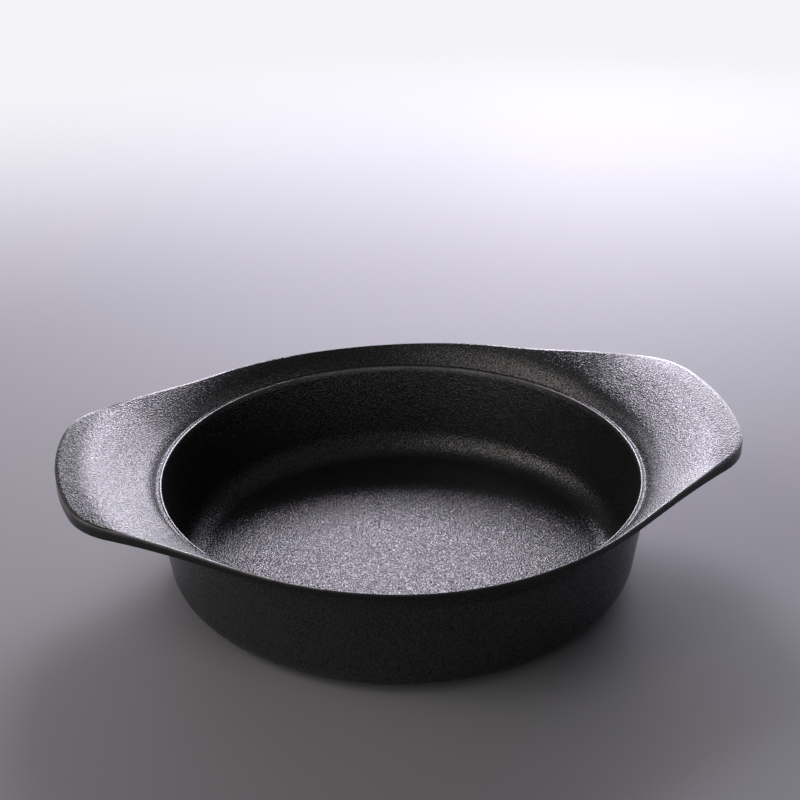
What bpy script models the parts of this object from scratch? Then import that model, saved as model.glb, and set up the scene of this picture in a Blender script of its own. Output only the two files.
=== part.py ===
"""A shallow two-handled cooking pan with a 22 cm mouth, cast in one piece of iron.

The frame has its origin in the middle of the base, on the surface the pan stands on.
+X runs through the two ears, +Y across them and +Z up. Lengths are in metres.

The bowl and the ledge for a lid are turned shapes. The flare around them is trimmed to
an outline of arcs and straights that reaches out into the two ears. Its edge lies on a
turned bell, low at the front and back and high at the ears. The upper side follows that
bell at the front and back. In the ears it is hollower: a steep shoulder, then a ramp
that levels off before the tip.
"""

from math import atan2, cos, exp, hypot, pi, radians, sin, sqrt, tan

import bmesh
import bpy
from mathutils import Vector

MM = 0.001

# Bowl
MOUTH_RADIUS = 110.0 * MM        # inner edge of the ledge
LEDGE_HEIGHT = 49.5 * MM         # top of the ledge over the base
WALL_DRAFT = radians(8.3)        # lean of both sides of the wall
WALL_THICKNESS = 4.0 * MM        # measured level
FLOOR_THICKNESS = 4.0 * MM
INNER_FILLET = 13.0 * MM         # floor into wall, inside
BASE_FILLET = 14.2 * MM          # wall into base, outside

# Ledge that a lid would sit on
LEDGE_WIDTH = 2.3 * MM
MOUTH_ROUND = 0.6 * MM           # inner edge of the ledge
LEDGE_FILLET = 0.5 * MM          # ledge into flare

# Bell that carries the flare's edge and underside, steep at the ledge and level far out
FLARE_RISE = 18.4 * MM           # height over the ledge that it levels off at
FLARE_RUN = 10.8 * MM            # distance in which it gains 63 percent of that
ROOT_DROP = 3.0 * MM             # its underside leaves the wall this far below the ledge
ROOT_FILLET = 6.0 * MM           # wall into underside
RIM_EDGE = 3.3 * MM              # height of the edge face at the front and back
EAR_EDGE = 6.1 * MM              # height of the edge face at the tips of the ears
EDGE_ROUND = 0.9 * MM

# Upper side of the ears, whose rise is shared between a shoulder and a ramp
SHOULDER_SHARE = 0.42
SHOULDER_RUN = 3.1 * MM          # distance in which the shoulder gains 63 percent
RAMP_LENGTH = 35.0 * MM          # from ledge to where the ramp is level
RAMP_BOW = 1.75                  # 1 is a plain quarter sine, more starts it flatter
EAR_BLEND = 0.33                 # the smaller, the sooner the bell turns into the ear

# Outline of the edge, seen from above
RIM_REACH = 6.7 * MM             # from ledge to edge at the front and back
EAR_REACH = 43.7 * MM            # from ledge to edge at the tips of the ears
SIDE_ARC_OFFSET = 19.2 * MM      # the front arc's centre lies this far behind the middle
EAR_SIDE_ANGLE = radians(56.2)   # where the front and back arcs turn into straight sides
EAR_CORNER_RADIUS = 36.5 * MM
EAR_END_RADIUS = 137.0 * MM

# Fineness of the mesh, in steps
END_ARC_STEPS = 3
CORNER_ARC_STEPS = 6
STRAIGHT_STEPS = 6
SIDE_ARC_STEPS = 8
SMALL_ROUND_STEPS = 2
ROOT_FILLET_STEPS = 3
LARGE_FILLET_STEPS = 6
FLARE_STEPS = 9
UNDERSIDE_STEPS = 5

LEDGE_RADIUS = MOUTH_RADIUS + LEDGE_WIDTH
RIM_HALF_WIDTH = LEDGE_RADIUS + RIM_REACH
EAR_HALF_LENGTH = LEDGE_RADIUS + EAR_REACH


def clear_scene():
    for old in list(bpy.data.objects):
        bpy.data.objects.remove(old, do_unlink=True)


def black_iron():
    """Black seasoned iron with the fine skin that a sand mould leaves."""
    material = bpy.data.materials.new("black_cast_iron")
    material.use_nodes = True
    shader = material.node_tree.nodes["Principled BSDF"]
    shader.inputs["Base Color"].default_value = (0.011, 0.011, 0.012, 1.0)
    shader.inputs["Metallic"].default_value = 0.35
    shader.inputs["Roughness"].default_value = 0.45
    return material


def arc(center, radius, start, end, steps):
    """Points of an arc from angle start to angle end, both included."""
    angles = [start + (end - start) * step / steps for step in range(steps + 1)]
    return [center + radius * Vector((cos(angle), sin(angle))) for angle in angles]


def edge_quarter():
    """Outline of the edge from the tip of the +X ear to the middle of the +Y side.

    The ear's end arc, its corner arc, a straight side and the wide side arc follow each
    other, each tangent to the next.
    """
    side_center = Vector((0.0, -SIDE_ARC_OFFSET))
    side_radius = RIM_HALF_WIDTH + SIDE_ARC_OFFSET
    end_center = Vector((EAR_HALF_LENGTH - EAR_END_RADIUS, 0.0))

    outward = Vector((cos(EAR_SIDE_ANGLE), sin(EAR_SIDE_ANGLE)))
    along = Vector((outward.y, -outward.x))
    start = side_center + (side_radius - EAR_CORNER_RADIUS) * outward
    to_start = start - end_center
    half_b = to_start.dot(along)
    gap = EAR_END_RADIUS - EAR_CORNER_RADIUS
    travel = -half_b + sqrt(half_b ** 2 - to_start.length_squared + gap ** 2)
    corner_center = start + travel * along
    from_end = corner_center - end_center
    turn = atan2(from_end.y, from_end.x)

    end_arc = arc(end_center, EAR_END_RADIUS, 0.0, turn, END_ARC_STEPS)
    corner_arc = arc(corner_center, EAR_CORNER_RADIUS, turn, EAR_SIDE_ANGLE, CORNER_ARC_STEPS)
    side_arc = arc(side_center, side_radius, EAR_SIDE_ANGLE, pi / 2, SIDE_ARC_STEPS)
    straight = [
        corner_arc[-1].lerp(side_arc[0], step / STRAIGHT_STEPS)
        for step in range(1, STRAIGHT_STEPS)
    ]
    return end_arc[:-1] + corner_arc + straight + side_arc


def edge_outline():
    """The whole outline, from the tip of the +X ear round by +Y."""
    quarter = edge_quarter()
    half = quarter + [Vector((-p.x, p.y)) for p in reversed(quarter[:-1])]
    return half + [Vector((p.x, -p.y)) for p in reversed(half[1:-1])]


def inner_wall(height):
    """Radius of the wall's inner side at a height."""
    return MOUTH_RADIUS - (LEDGE_HEIGHT - height) * tan(WALL_DRAFT)


def outer_wall(height):
    """Radius of the wall's outer side at a height."""
    return inner_wall(height) + WALL_THICKNESS


def bell(radius):
    """Height of the turned bell at a distance from the middle."""
    return LEDGE_HEIGHT + FLARE_RISE * (1.0 - exp((LEDGE_RADIUS - radius) / FLARE_RUN))


def ear_climb(run):
    """Share of its rise that an ear has gained this far out from the ledge."""
    shoulder = 1.0 - exp(-run / SHOULDER_RUN)
    ramp = sin(pi / 2 * min(run / RAMP_LENGTH, 1.0)) ** RAMP_BOW
    return SHOULDER_SHARE * shoulder + (1.0 - SHOULDER_SHARE) * ramp


def ear_share(reach):
    """How far the edge reaches out, from 0 at the front and back to 1 at the ears' tips."""
    return max(0.0, reach - RIM_HALF_WIDTH) / (EAR_HALF_LENGTH - RIM_HALF_WIDTH)


def flare_top(radius, reach):
    """Height of the flare's upper side at radius, where its edge lies at reach."""
    climb = ear_climb(radius - LEDGE_RADIUS) / ear_climb(reach - LEDGE_RADIUS)
    ear = LEDGE_HEIGHT + (bell(reach) - LEDGE_HEIGHT) * climb
    return bell(radius) + (ear - bell(radius)) * ear_share(reach) ** EAR_BLEND


def edge_height(reach):
    """Height of the edge face where the edge lies this far from the middle."""
    return RIM_EDGE + (EAR_EDGE - RIM_EDGE) * ear_share(reach)


def rounded(before, corner, after, radius, steps):
    """Points that round a corner between two neighbours in a section.

    Where a side is too short for the radius, the rounding shrinks to fit it.
    """
    back = (before - corner).normalized()
    ahead = (after - corner).normalized()
    half_angle = back.angle(ahead) / 2
    room = 0.48 * min((before - corner).length, (after - corner).length)
    tangent = min(radius / tan(half_angle), room)
    fitted = tangent * tan(half_angle)
    center = corner + (back + ahead).normalized() * (fitted / sin(half_angle))
    first = corner + tangent * back - center
    last = corner + tangent * ahead - center
    sweep = first.angle_signed(last)
    start = atan2(first.y, first.x)
    return arc(center, fitted, start, start - sweep, steps)


def section(reach):
    """Section of the wall and flare whose edge lies at reach, as (radius, height) points.

    It runs from the floor up the inside, over the ledge and the flare, round the edge
    and back down the outside to the base.
    """
    floor_middle = Vector((0.0, FLOOR_THICKNESS))
    floor_corner = Vector((inner_wall(FLOOR_THICKNESS), FLOOR_THICKNESS))
    mouth = Vector((MOUTH_RADIUS, LEDGE_HEIGHT))
    ledge_corner = Vector((LEDGE_RADIUS, LEDGE_HEIGHT))

    flare = []
    for step in range(1, FLARE_STEPS):
        radius = LEDGE_RADIUS + (reach - LEDGE_RADIUS) * (step / FLARE_STEPS) ** 1.5
        flare.append(Vector((radius, flare_top(radius, reach))))
    top_corner = Vector((reach, bell(reach)))
    low_corner = Vector((reach, bell(reach) - edge_height(reach)))

    root_height = LEDGE_HEIGHT - ROOT_DROP
    root = Vector((outer_wall(root_height), root_height))
    root_depth = bell(root.x) - root.y
    underside = []
    for step in range(1, UNDERSIDE_STEPS):
        share = 1.0 - (step / UNDERSIDE_STEPS)
        radius = root.x + (reach - root.x) * share
        depth = root_depth + (edge_height(reach) - root_depth) * share
        underside.append(Vector((radius, bell(radius) - depth)))
    base_corner = Vector((outer_wall(0.0), 0.0))
    base_middle = Vector((0.0, 0.0))

    points = rounded(floor_middle, floor_corner, mouth, INNER_FILLET, LARGE_FILLET_STEPS)
    points += rounded(floor_corner, mouth, ledge_corner, MOUTH_ROUND, SMALL_ROUND_STEPS)
    points += rounded(mouth, ledge_corner, flare[0], LEDGE_FILLET, SMALL_ROUND_STEPS)
    points += flare
    points += rounded(flare[-1], top_corner, low_corner, EDGE_ROUND, SMALL_ROUND_STEPS)
    points += rounded(top_corner, low_corner, underside[0], EDGE_ROUND, SMALL_ROUND_STEPS)
    points += underside
    points += rounded(underside[-1], root, base_corner, ROOT_FILLET, ROOT_FILLET_STEPS)
    points += rounded(root, base_corner, base_middle, BASE_FILLET, LARGE_FILLET_STEPS)
    return points


def pot_casting():
    """The pan, lofted between its sections because each one reaches out differently."""
    mesh = bmesh.new()
    columns = []
    for point in edge_outline():
        direction = point.normalized()
        column = [
            mesh.verts.new((radius * direction.x, radius * direction.y, height))
            for radius, height in section(hypot(point.x, point.y))
        ]
        columns.append(column)

    for index, column in enumerate(columns):
        following = columns[(index + 1) % len(columns)]
        for level in range(len(column) - 1):
            mesh.faces.new(
                (column[level], column[level + 1], following[level + 1], following[level])
            )
    mesh.faces.new([column[0] for column in columns])
    mesh.faces.new([column[-1] for column in reversed(columns)])
    bmesh.ops.recalc_face_normals(mesh, faces=mesh.faces)

    data = bpy.data.meshes.new("pot_casting")
    mesh.to_mesh(data)
    mesh.free()
    data.materials.append(black_iron())
    data.shade_smooth()
    data.set_sharp_from_angle(angle=radians(40))
    return bpy.data.objects.new("pot_casting", data)


def main():
    clear_scene()
    pan = bpy.data.collections.new("two_handled_pan")
    bpy.context.scene.collection.children.link(pan)
    pan.objects.link(pot_casting())


main()
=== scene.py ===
from math import atan2, cos, exp, hypot, pi, radians, sin, sqrt, tan

import bmesh
import bpy
from mathutils import Matrix, Vector, noise


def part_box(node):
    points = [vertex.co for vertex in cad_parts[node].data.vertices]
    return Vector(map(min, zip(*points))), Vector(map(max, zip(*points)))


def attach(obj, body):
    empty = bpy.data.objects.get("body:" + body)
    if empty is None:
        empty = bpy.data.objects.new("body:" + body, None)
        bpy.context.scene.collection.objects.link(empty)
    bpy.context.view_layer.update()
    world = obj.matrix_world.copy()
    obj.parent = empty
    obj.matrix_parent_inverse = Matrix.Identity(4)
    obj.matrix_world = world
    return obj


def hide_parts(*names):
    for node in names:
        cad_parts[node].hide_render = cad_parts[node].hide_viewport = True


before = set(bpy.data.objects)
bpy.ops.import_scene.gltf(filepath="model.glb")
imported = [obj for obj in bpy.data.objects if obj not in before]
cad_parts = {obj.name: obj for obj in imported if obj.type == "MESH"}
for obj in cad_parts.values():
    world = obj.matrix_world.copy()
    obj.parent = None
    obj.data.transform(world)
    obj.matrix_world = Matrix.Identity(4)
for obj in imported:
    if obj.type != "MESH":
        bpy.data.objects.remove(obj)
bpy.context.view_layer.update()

# The pan is one grey-iron casting: bowl, lid ledge, flared rim and both ear handles.
# It is poured in a sand mould, which leaves the fine grain all over. Its edge and the
# mouth are ground smooth, then the whole is oiled and baked until the skin is black.
MM = 0.001
low, high = (Vector(corner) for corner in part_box("pot_casting"))

MOUTH_RADIUS = 110.0 * MM
LEDGE_HEIGHT = 49.5 * MM
WALL_DRAFT = radians(8.3)
WALL_THICKNESS = 4.0 * MM
FLOOR_THICKNESS = 4.0 * MM
INNER_FILLET = 13.0 * MM
BASE_FILLET = 14.2 * MM

LEDGE_WIDTH = 2.3 * MM
LEDGE_RADIUS = MOUTH_RADIUS + LEDGE_WIDTH
MOUTH_ROUND = 0.45 * MM
LEDGE_FILLET = 0.5 * MM
SEAT_LINE_OFFSET = 0.8 * MM
SEAT_LINE_WIDTH = 0.45 * MM
SEAT_LINE_DEPTH = 0.22 * MM

FLARE_RISE = 18.4 * MM
FLARE_RUN = 10.8 * MM
SHOULDER_SHARE = 0.42
SHOULDER_RUN = 3.1 * MM
RAMP_LENGTH = 35.0 * MM
RAMP_BOW = 1.75
EAR_BLEND = 0.33
ROOT_DROP = 3.0 * MM
ROOT_FILLET = 6.0 * MM
RIM_EDGE = 3.3 * MM
EAR_EDGE = 6.1 * MM
TOP_EDGE_ROUND = 0.45 * MM
LOW_EDGE_ROUND = 0.7 * MM

RIM_HALF_WIDTH = high.y
EAR_HALF_LENGTH = high.x
SIDE_ARC_OFFSET = 19.2 * MM
EAR_SIDE_ANGLE = radians(56.2)
EAR_CORNER_RADIUS = 36.5 * MM
EAR_END_RADIUS = 137.0 * MM

SPOKES = 480
FLOOR_RINGS = 16
WALL_RINGS = 14
FLARE_RINGS = 30
UNDERSIDE_RINGS = 18
LARGE_FILLET_RINGS = 14
SMALL_ROUND_RINGS = 5
SEAT_LINE_RINGS = 6
EDGE_FACE_RINGS = 3
FLARE_CROWDING = 1.5
ROOM_FOR_ROUND = 0.48


def circle_reach(center, radius, ray):
    """Distance from the middle, along a ray, to the far side of a circle."""
    ahead = center.dot(ray)
    return ahead + sqrt(radius ** 2 - center.length_squared + ahead ** 2)


side_center = Vector((0.0, -SIDE_ARC_OFFSET))
side_radius = RIM_HALF_WIDTH + SIDE_ARC_OFFSET
end_center = Vector((EAR_HALF_LENGTH - EAR_END_RADIUS, 0.0))
outward = Vector((cos(EAR_SIDE_ANGLE), sin(EAR_SIDE_ANGLE)))
along = Vector((outward.y, -outward.x))
start = side_center + (side_radius - EAR_CORNER_RADIUS) * outward
half_b = (start - end_center).dot(along)
slack = (EAR_END_RADIUS - EAR_CORNER_RADIUS) ** 2 - (start - end_center).length_squared
corner_center = start + (sqrt(half_b ** 2 + slack) - half_b) * along
end_turn = (corner_center - end_center).normalized()

end_meets = end_center + EAR_END_RADIUS * end_turn
corner_meets = corner_center + EAR_CORNER_RADIUS * outward
side_meets = side_center + side_radius * outward


def edge_reach(angle):
    """Distance from the middle to the edge: end arc, corner arc, straight or side arc."""
    ray = Vector((abs(cos(angle)), abs(sin(angle))))
    slope = atan2(ray.y, ray.x)
    if slope < atan2(end_meets.y, end_meets.x):
        return circle_reach(end_center, EAR_END_RADIUS, ray)
    if slope < atan2(corner_meets.y, corner_meets.x):
        return circle_reach(corner_center, EAR_CORNER_RADIUS, ray)
    if slope < atan2(side_meets.y, side_meets.x):
        return side_meets.dot(outward) / ray.dot(outward)
    return circle_reach(side_center, side_radius, ray)


def inner_wall(height):
    return MOUTH_RADIUS - (LEDGE_HEIGHT - height) * tan(WALL_DRAFT)


def outer_wall(height):
    return inner_wall(height) + WALL_THICKNESS


def bell(radius):
    """Height of the plain turned curve that the edge and the underside follow."""
    return LEDGE_HEIGHT + FLARE_RISE * (1.0 - exp((LEDGE_RADIUS - radius) / FLARE_RUN))


def ear_climb(run):
    """Share of its rise that an ear has gained this far from the ledge."""
    shoulder = 1.0 - exp(-run / SHOULDER_RUN)
    ramp = sin(pi / 2 * min(run / RAMP_LENGTH, 1.0)) ** RAMP_BOW
    return SHOULDER_SHARE * shoulder + (1.0 - SHOULDER_SHARE) * ramp


def flare_top(radius, reach):
    """Height of the upper side: a bell across the pan, a shoulder and a ramp in the ears."""
    climb = ear_climb(radius - LEDGE_RADIUS) / ear_climb(reach - LEDGE_RADIUS)
    ear = LEDGE_HEIGHT + (bell(reach) - LEDGE_HEIGHT) * climb
    share = max(0.0, reach - RIM_HALF_WIDTH) / (EAR_HALF_LENGTH - RIM_HALF_WIDTH)
    return bell(radius) + (ear - bell(radius)) * share ** EAR_BLEND


def edge_height(reach):
    share = (reach - RIM_HALF_WIDTH) / (EAR_HALF_LENGTH - RIM_HALF_WIDTH)
    return RIM_EDGE + (EAR_EDGE - RIM_EDGE) * share


def rounded(before, corner, after, radius, rings):
    """Points that round one corner of a section, shrunk where a side is too short."""
    back = (before - corner).normalized()
    ahead = (after - corner).normalized()
    half_angle = back.angle(ahead) / 2
    room = ROOM_FOR_ROUND * min((before - corner).length, (after - corner).length)
    tangent = min(radius / tan(half_angle), room)
    fitted = tangent * tan(half_angle)
    center = corner + (back + ahead).normalized() * (fitted / sin(half_angle))
    first = corner + tangent * back - center
    sweep = first.angle_signed(corner + tangent * ahead - center)
    return [center + first @ Matrix.Rotation(sweep * ring / rings, 2) for ring in range(rings + 1)]


def between(first, last, rings):
    """Points on the way from first to last, without either of them."""
    return [first.lerp(last, ring / rings) for ring in range(1, rings)]


def resample(path, rings):
    """Points spaced evenly along a path, without its two ends."""
    lengths = [0.0]
    for first, last in zip(path, path[1:]):
        lengths.append(lengths[-1] + (last - first).length)
    points = []
    leg = 0
    for ring in range(1, rings):
        goal = lengths[-1] * ring / rings
        while lengths[leg + 1] < goal:
            leg += 1
        share = (goal - lengths[leg]) / (lengths[leg + 1] - lengths[leg])
        points.append(path[leg].lerp(path[leg + 1], share))
    return points


def section(reach):
    """Section of the whole wall on one spoke, as named stretches of points.

    They follow each other from the floor's middle up the inside, over the ledge and the
    flare, round the edge and down the outside to the middle of the base.
    """
    floor_middle = Vector((0.0, FLOOR_THICKNESS))
    floor_corner = Vector((inner_wall(FLOOR_THICKNESS), FLOOR_THICKNESS))
    mouth = Vector((MOUTH_RADIUS, LEDGE_HEIGHT))
    ledge_corner = Vector((LEDGE_RADIUS, LEDGE_HEIGHT))
    base_corner = Vector((outer_wall(0.0), 0.0))
    base_middle = Vector((0.0, 0.0))
    root_height = LEDGE_HEIGHT - ROOT_DROP
    root = Vector((outer_wall(root_height), root_height))
    root_depth = bell(root.x) - root.y

    flare = []
    for ring in range(1, FLARE_RINGS):
        radius = LEDGE_RADIUS + (reach - LEDGE_RADIUS) * (ring / FLARE_RINGS) ** FLARE_CROWDING
        flare.append(Vector((radius, flare_top(radius, reach))))
    top_corner = Vector((reach, bell(reach)))
    low_corner = Vector((reach, bell(reach) - edge_height(reach)))
    underside = []
    for ring in range(1, UNDERSIDE_RINGS):
        share = 1.0 - ring / UNDERSIDE_RINGS
        radius = root.x + (reach - root.x) * share
        depth = root_depth + (edge_height(reach) - root_depth) * share
        underside.append(Vector((radius, bell(radius) - depth)))

    inner_foot = rounded(floor_middle, floor_corner, mouth, INNER_FILLET, LARGE_FILLET_RINGS)
    lip = rounded(floor_corner, mouth, ledge_corner, MOUTH_ROUND, SMALL_ROUND_RINGS)
    seat_line = []
    for ring in range(SEAT_LINE_RINGS + 1):
        share = ring / SEAT_LINE_RINGS
        across = MOUTH_RADIUS + SEAT_LINE_OFFSET + SEAT_LINE_WIDTH * share
        seat_line.append(Vector((across, LEDGE_HEIGHT - SEAT_LINE_DEPTH * sin(pi * share))))
    ledge_foot = rounded(mouth, ledge_corner, flare[0], LEDGE_FILLET, SMALL_ROUND_RINGS)
    top_edge = rounded(flare[-2], top_corner, low_corner, TOP_EDGE_ROUND, SMALL_ROUND_RINGS)
    low_edge = rounded(top_corner, low_corner, underside[1], LOW_EDGE_ROUND, SMALL_ROUND_RINGS)
    armpit = rounded(underside[-4], root, base_corner, ROOT_FILLET, SMALL_ROUND_RINGS)
    outer_foot = rounded(root, base_corner, base_middle, BASE_FILLET, LARGE_FILLET_RINGS)

    flare = [point for point in flare if point.x < top_edge[0].x]
    underside = [point for point in underside if armpit[0].x < point.x < low_edge[-1].x]
    return {
        "floor": [floor_middle] + between(floor_middle, inner_foot[0], FLOOR_RINGS),
        "inner foot": inner_foot,
        "inner wall": between(inner_foot[-1], lip[0], WALL_RINGS),
        "lip": lip,
        "seat line": seat_line,
        "ledge foot": ledge_foot,
        "flare": resample(ledge_foot[-1:] + flare + top_edge[:1], FLARE_RINGS),
        "top edge": top_edge,
        "edge face": between(top_edge[-1], low_edge[0], EDGE_FACE_RINGS),
        "low edge": low_edge,
        "underside": resample(low_edge[-1:] + underside + armpit[:1], UNDERSIDE_RINGS),
        "armpit": armpit,
        "outer wall": between(armpit[-1], outer_foot[0], WALL_RINGS),
        "outer foot": outer_foot,
        "base": between(outer_foot[-1], base_middle, FLOOR_RINGS) + [base_middle],
    }


# The section through an ear is spun round, and each point keeps its place along it.
stretch_names = []
spine_points = []
for name, stretch in section(EAR_HALF_LENGTH).items():
    stretch_names += [name] * len(stretch)
    spine_points += stretch

mesh = bmesh.new()
place = mesh.verts.layers.int.new("place")
spine = []
for index, point in enumerate(spine_points):
    vert = mesh.verts.new((point.x, 0.0, point.y))
    vert[place] = index
    spine.append(vert)
for first, last in zip(spine, spine[1:]):
    mesh.edges.new((first, last))
bmesh.ops.spin(
    mesh, geom=mesh.verts[:] + mesh.edges[:], cent=(0, 0, 0), axis=(0, 0, 1),
    angle=2 * pi, steps=SPOKES, use_merge=True,
)

# Each spoke takes its own section, because the edge reaches out differently there. Two
# attributes keep where the grinding took the grain off and where handling polishes it; the
# second also marks where a highlight is painted along the lip and the top edge.
GROUND = {"lip": 1.0, "seat line": 0.3, "top edge": 1.0, "edge face": 0.85, "low edge": 0.85}
# The lip and top edge carry a painted highlight as well as their polish.
POLISH_AND_HIGHLIGHT = {"lip": 1.0, "top edge": 1.0}
AXIS_WIDTH = 0.01 * MM
WELD = 0.001 * MM
ground = mesh.verts.layers.float.new("ground")
polish_and_highlight = mesh.verts.layers.float.new("polish_and_highlight")
sections = []
for spoke in range(SPOKES):
    stretches = section(edge_reach(2 * pi * spoke / SPOKES)).values()
    sections.append([point for stretch in stretches for point in stretch])
for vert in mesh.verts:
    name = stretch_names[vert[place]]
    vert[ground] = GROUND.get(name, 0.0)
    vert[polish_and_highlight] = POLISH_AND_HIGHLIGHT.get(name, 0.0)
    if hypot(vert.co.x, vert.co.y) > AXIS_WIDTH:
        angle = atan2(vert.co.y, vert.co.x)
        point = sections[round(angle / (2 * pi) * SPOKES) % SPOKES][vert[place]]
        vert.co = (point.x * cos(angle), point.x * sin(angle), min(point.y, high.z))
bmesh.ops.remove_doubles(mesh, verts=mesh.verts[:], dist=WELD)
bmesh.ops.recalc_face_normals(mesh, faces=mesh.faces[:])

# A sand mould is never quite true, so the skin wanders in by a few hundredths. The
# base, up to the start of its rounded foot, stays flat.
WANDER = 0.06 * MM
WANDER_LENGTH = 17.0 * MM
KEPT_FLAT = 0.5 * MM
mesh.normal_update()
for vert in mesh.verts:
    if vert.co.z > KEPT_FLAT:
        swell = 0.5 + 0.5 * noise.noise(vert.co / WANDER_LENGTH)
        vert.co -= vert.normal * WANDER * swell * (1.0 - vert[ground])

data = bpy.data.meshes.new("pan_casting")
mesh.to_mesh(data)
mesh.free()
data.shade_smooth()
casting = bpy.data.objects.new("pan_casting", data)
bpy.context.scene.collection.objects.link(casting)
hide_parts("pot_casting")
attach(casting, "root")

# The patterns on the iron are laid out in the pan's own space, so they stay on it.
IRON_IOR = 1.5
iron = bpy.data.materials.new("baked_black_iron")
iron.use_nodes = True
nodes = iron.node_tree.nodes
links = iron.node_tree.links
shader = nodes["Principled BSDF"]
shader.inputs["IOR"].default_value = IRON_IOR
where = nodes.new("ShaderNodeTexCoord").outputs["Object"]


def sand_noise(per_metre, detail, roughness):
    """An uneven pattern all over the iron, with this many swells to the metre."""
    pattern = nodes.new("ShaderNodeTexNoise")
    pattern.inputs["Scale"].default_value = per_metre
    pattern.inputs["Detail"].default_value = detail
    pattern.inputs["Roughness"].default_value = roughness
    links.new(where, pattern.inputs["Vector"])
    return pattern.outputs["Fac"]


def scaled(value, start, end, to_start, to_end):
    """A value taken from one range to another and held within it."""
    scale = nodes.new("ShaderNodeMapRange")
    scale.inputs["From Min"].default_value = start
    scale.inputs["From Max"].default_value = end
    scale.inputs["To Min"].default_value = to_start
    scale.inputs["To Max"].default_value = to_end
    links.new(value, scale.inputs["Value"])
    return scale.outputs["Result"]


def worked(operation, first, second):
    """Two values taken together by one step of arithmetic. Either may be a number."""
    step = nodes.new("ShaderNodeMath")
    step.operation = operation
    for socket, value in zip(step.inputs, (first, second)):
        if isinstance(value, float):
            socket.default_value = value
        else:
            links.new(value, socket)
    return step.outputs["Value"]


def blended(share, first, second):
    """One value or colour going over into another by a share."""
    mix = nodes.new("ShaderNodeMix")
    mix.data_type = "RGBA" if isinstance(second, tuple) else "FLOAT"
    sockets = [socket for socket in mix.inputs if socket.enabled]
    links.new(share, sockets[0])
    for socket, value in zip(sockets[1:], (first, second)):
        if isinstance(value, (float, tuple)):
            socket.default_value = value
        else:
            links.new(value, socket)
    return next(socket for socket in mix.outputs if socket.enabled)


def kept(name):
    """A value that the mesh keeps for each vertex."""
    attribute = nodes.new("ShaderNodeAttribute")
    attribute.attribute_name = name
    return attribute.outputs["Fac"]


def specks(per_metre, size, share):
    """Small round spots, one in some of the cells of an uneven net."""
    cells = nodes.new("ShaderNodeTexVoronoi")
    cells.inputs["Scale"].default_value = per_metre
    links.new(where, cells.inputs["Vector"])
    split = nodes.new("ShaderNodeSeparateColor")
    links.new(cells.outputs["Color"], split.inputs["Color"])
    chosen = worked("LESS_THAN", split.outputs["Red"], share)
    spot = scaled(cells.outputs["Distance"], size, 0.5 * size, 0.0, 1.0)
    return worked("MULTIPLY", chosen, spot)


# The sand leaves a grain of about a millimetre, with wider swells and a few pits. Heights
# are in millimetres. Little of it is left where the iron is ground.
SAND_HEIGHT = 0.29
SWELL_HEIGHT = 0.08
PIT_DEPTH = 0.08
LEFT_BY_GRINDING = 0.06
sand = sand_noise(1300.0, 1.0, 0.5)
swells = sand_noise(300.0, 1.0, 0.5)
pits = specks(210.0, 0.16, 0.12)
left_rough = scaled(kept("ground"), 0.0, 1.0, 1.0, LEFT_BY_GRINDING)
swells = worked("MULTIPLY", swells, SWELL_HEIGHT)
height = worked("ADD", worked("MULTIPLY", sand, SAND_HEIGHT), swells)
height = worked("SUBTRACT", height, worked("MULTIPLY", pits, PIT_DEPTH))
skin = nodes.new("ShaderNodeBump")
skin.inputs["Strength"].default_value = 1.0
skin.inputs["Distance"].default_value = MM
links.new(worked("MULTIPLY", height, left_rough), skin.inputs["Height"])
links.new(skin.outputs["Normal"], shader.inputs["Normal"])

# Baked oil lies in the hollows of the grain, bluish black where it is thin and brownish
# where it is thick, and it is duller there. The crests carry little of it. Corners that
# hands rub show the iron. The lip and top edge are painted lighter, partly as that wear
# and partly as a painted highlight standing in for the glint of the light on them.
OIL_COOL = (0.0080, 0.0085, 0.0105, 1.0)
OIL_WARM = (0.0170, 0.0150, 0.0135, 1.0)
CREST = (0.1000, 0.0970, 0.1000, 1.0)
GROUND_IRON = (0.0200, 0.0200, 0.0210, 1.0)
# Lighter iron for the lip and top edge: partly polish, partly a painted highlight.
POLISHED_IRON_HIGHLIGHT = (0.1600, 0.1550, 0.1500, 1.0)
LIGHT_SPECK = (0.2400, 0.2300, 0.2200, 1.0)
METAL_IN_HOLLOWS = 0.4
METAL_ON_CRESTS = 0.9
METAL_GROUND = 0.5
GLOSSIER = 0.18
DULLER = 0.215
GLOSS_RUBBED = 0.20
GLOSS_IN_HOLLOWS = 0.34
RUBBING = 0.7
LEAST_RUBBED = 0.35
mottle = sand_noise(48.0, 5.0, 0.6)
colour = blended(scaled(mottle, 0.35, 0.65, 0.0, 1.0), OIL_COOL, OIL_WARM)
crests = scaled(sand, 0.36, 0.56, 0.0, 1.0)
colour = blended(crests, colour, CREST)
colour = blended(kept("ground"), colour, GROUND_IRON)
patchy = scaled(sand_noise(160.0, 3.0, 0.6), 0.30, 0.70, LEAST_RUBBED, 1.0)
wear_and_highlight = worked("MULTIPLY", kept("polish_and_highlight"), patchy)
# Painted highlight: the lip and top edge are lightened, partly for wear and partly for the glint
# of the light.
colour = blended(wear_and_highlight, colour, POLISHED_IRON_HIGHLIGHT)
# Small light grey specks scattered over the iron.
colour = blended(specks(95.0, 0.035, 0.10), colour, LIGHT_SPECK)
metal = scaled(crests, 0.0, 1.0, METAL_IN_HOLLOWS, METAL_ON_CRESTS)
metal = blended(kept("ground"), metal, METAL_GROUND)
links.new(colour, shader.inputs["Base Color"])
links.new(metal, shader.inputs["Metallic"])
gloss = scaled(mottle, 0.3, 0.7, GLOSSIER, DULLER)
gloss = blended(crests, GLOSS_IN_HOLLOWS, gloss)
gloss = blended(worked("MULTIPLY", wear_and_highlight, RUBBING), gloss, GLOSS_RUBBED)
links.new(gloss, shader.inputs["Roughness"])
data.materials.append(iron)

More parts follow.
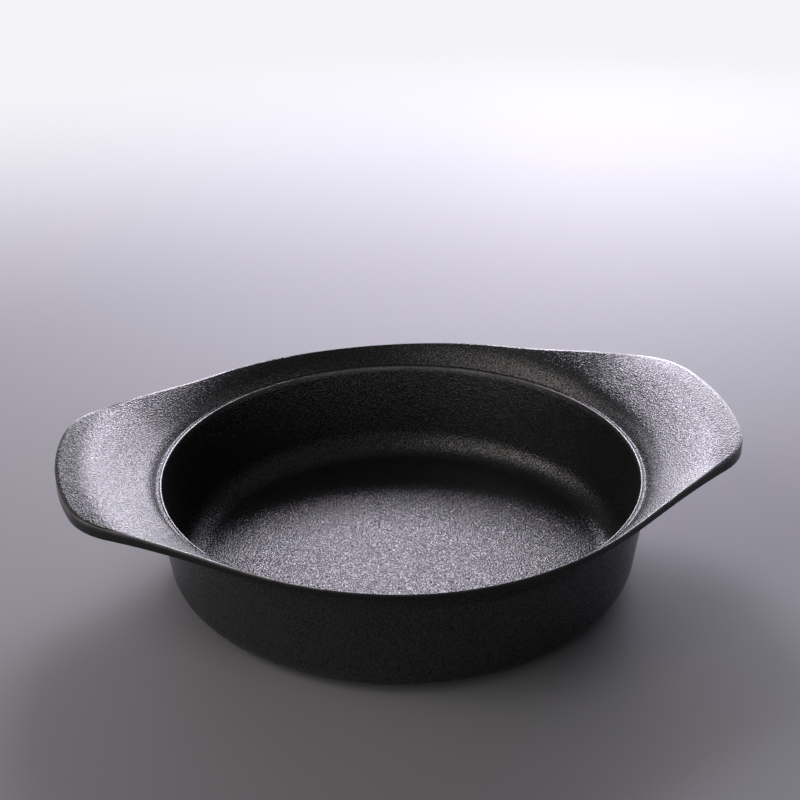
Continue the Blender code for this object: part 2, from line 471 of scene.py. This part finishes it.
# The pan stands on a plain pale surface. Further away it goes over into the white of the
# low wall round it, so that it shows a white background from every side.
WHITE_STARTS = 0.33
WHITE_ENDS = 0.95
WHITE = (0.90, 0.90, 0.93, 1.0)
WALL_DISTANCE = 6.0
WALL_HEIGHT = 1.5
WALL_SIDES = 96
PAPER = (0.38, 0.375, 0.40, 1.0)
PAPER_GLOSS = 0.6
PAPER_SHINE = 0.4
floor_mesh = bmesh.new()
bmesh.ops.create_circle(floor_mesh, cap_ends=True, segments=WALL_SIDES, radius=WALL_DISTANCE)
wall = bmesh.ops.extrude_edge_only(floor_mesh, edges=floor_mesh.edges[:])["geom"]
wall_top = [part for part in wall if isinstance(part, bmesh.types.BMVert)]
bmesh.ops.translate(floor_mesh, verts=wall_top, vec=(0.0, 0.0, WALL_HEIGHT))
floor_data = bpy.data.meshes.new("studio_floor")
floor_mesh.to_mesh(floor_data)
floor_mesh.free()
floor = bpy.data.objects.new("studio_floor", floor_data)
bpy.context.scene.collection.objects.link(floor)
paper = bpy.data.materials.new("pale_paper")
paper.use_nodes = True
floor_data.materials.append(paper)

nodes = paper.node_tree.nodes
links = paper.node_tree.links
lit = nodes["Principled BSDF"]
lit.inputs["Base Color"].default_value = PAPER
lit.inputs["Roughness"].default_value = PAPER_GLOSS
lit.inputs["Specular IOR Level"].default_value = PAPER_SHINE
white = nodes.new("ShaderNodeEmission")
white.inputs["Color"].default_value = WHITE
away = nodes.new("ShaderNodeVectorMath")
away.operation = "LENGTH"
links.new(nodes.new("ShaderNodeTexCoord").outputs["Object"], away.inputs[0])
far = scaled(away.outputs["Value"], WHITE_STARTS, WHITE_ENDS, 0.0, 1.0)
far.node.interpolation_type = "SMOOTHSTEP"

ray = nodes.new("ShaderNodeLightPath").outputs
seen = worked("MAXIMUM", ray["Is Camera Ray"], ray["Is Glossy Ray"])
seen = worked("MAXIMUM", seen, ray["Is Transmission Ray"])
both = nodes.new("ShaderNodeMixShader")
links.new(worked("MULTIPLY", far, seen), both.inputs["Fac"])
links.new(lit.outputs["BSDF"], both.inputs[1])
links.new(white.outputs["Emission"], both.inputs[2])
links.new(both.outputs["Shader"], nodes["Material Output"].inputs["Surface"])


# The light is that of a room with a tall window behind the pan: the window itself, the
# bright wall below and beside it, and a little light from the left, above and all round.
LAMP_DISTANCE = 1.0


def soft_lamp(name, bearing, rise, width, height, radiance, colour):
    """A lamp facing the pan, placed and sized by the angles at which the pan sees it.

    The bearing is counted from behind the pan towards its right.
    """
    direction = Vector((sin(bearing) * cos(rise), cos(bearing) * cos(rise), sin(rise)))
    lamp = bpy.data.lights.new(name, "AREA")
    lamp.shape = "RECTANGLE"
    lamp.size = 2 * LAMP_DISTANCE * tan(width / 2)
    lamp.size_y = 2 * LAMP_DISTANCE * tan(height / 2)
    lamp.energy = radiance * pi * lamp.size * lamp.size_y
    lamp.color = colour
    holder = bpy.data.objects.new(name, lamp)
    holder.location = direction * LAMP_DISTANCE
    holder.rotation_euler = (-direction).to_track_quat("-Z", "Y").to_euler()
    holder.visible_camera = False
    bpy.context.scene.collection.objects.link(holder)


COOL = (0.90, 0.865, 1.0)
WARM = (1.0, 0.95, 0.90)
soft_lamp("window", radians(13), radians(33), radians(28), radians(24), 1.8, COOL)
soft_lamp("sky_in_window", radians(9), radians(35), radians(16), radians(13), 17.0, COOL)
soft_lamp("window_edge", radians(32), radians(27), radians(20), radians(16), 3.3, COOL)
soft_lamp("bright_wall", radians(10), radians(8), radians(70), radians(12), 5.3, COOL)
soft_lamp("bright_corner", radians(35), radians(12), radians(36), radians(20), 3.6, COOL)
soft_lamp("left_side", radians(-80), radians(32), radians(28), radians(26), 1.3, WARM)
soft_lamp("left_wide", radians(-108), radians(22), radians(70), radians(34), 0.8, WARM)
soft_lamp("left_above", radians(-110), radians(57), radians(24), radians(20), 1.7, WARM)

ROOM_COLOUR = (0.95, 0.95, 1.0, 1.0)
ROOM_LIGHT = 0.09
world = bpy.data.worlds.new("room")
world.use_nodes = True
bpy.context.scene.world = world
air = world.node_tree.nodes["Background"]
air.inputs["Color"].default_value = ROOM_COLOUR
air.inputs["Strength"].default_value = ROOM_LIGHT

# The camera looks down from the front left, as in the photograph.
CAMERA_PLACE = Vector((-0.1345, -0.6868, 0.4357))
CAMERA_AIM = Vector((0.0, 0.0, 0.085))
CAMERA_ROLL = radians(-0.83)
LENS = 77.8
SENSOR = 36.0
view = bpy.data.cameras.new("camera")
view.lens = LENS
view.sensor_width = SENSOR
camera = bpy.data.objects.new("camera", view)
camera.location = CAMERA_PLACE
turn = (CAMERA_AIM - CAMERA_PLACE).to_track_quat("-Z", "Y").to_matrix()
camera.rotation_euler = (turn @ Matrix.Rotation(CAMERA_ROLL, 3, "Z")).to_euler()
bpy.context.scene.collection.objects.link(camera)
bpy.context.scene.camera = camera
bpy.context.scene.view_settings.view_transform = "Standard"
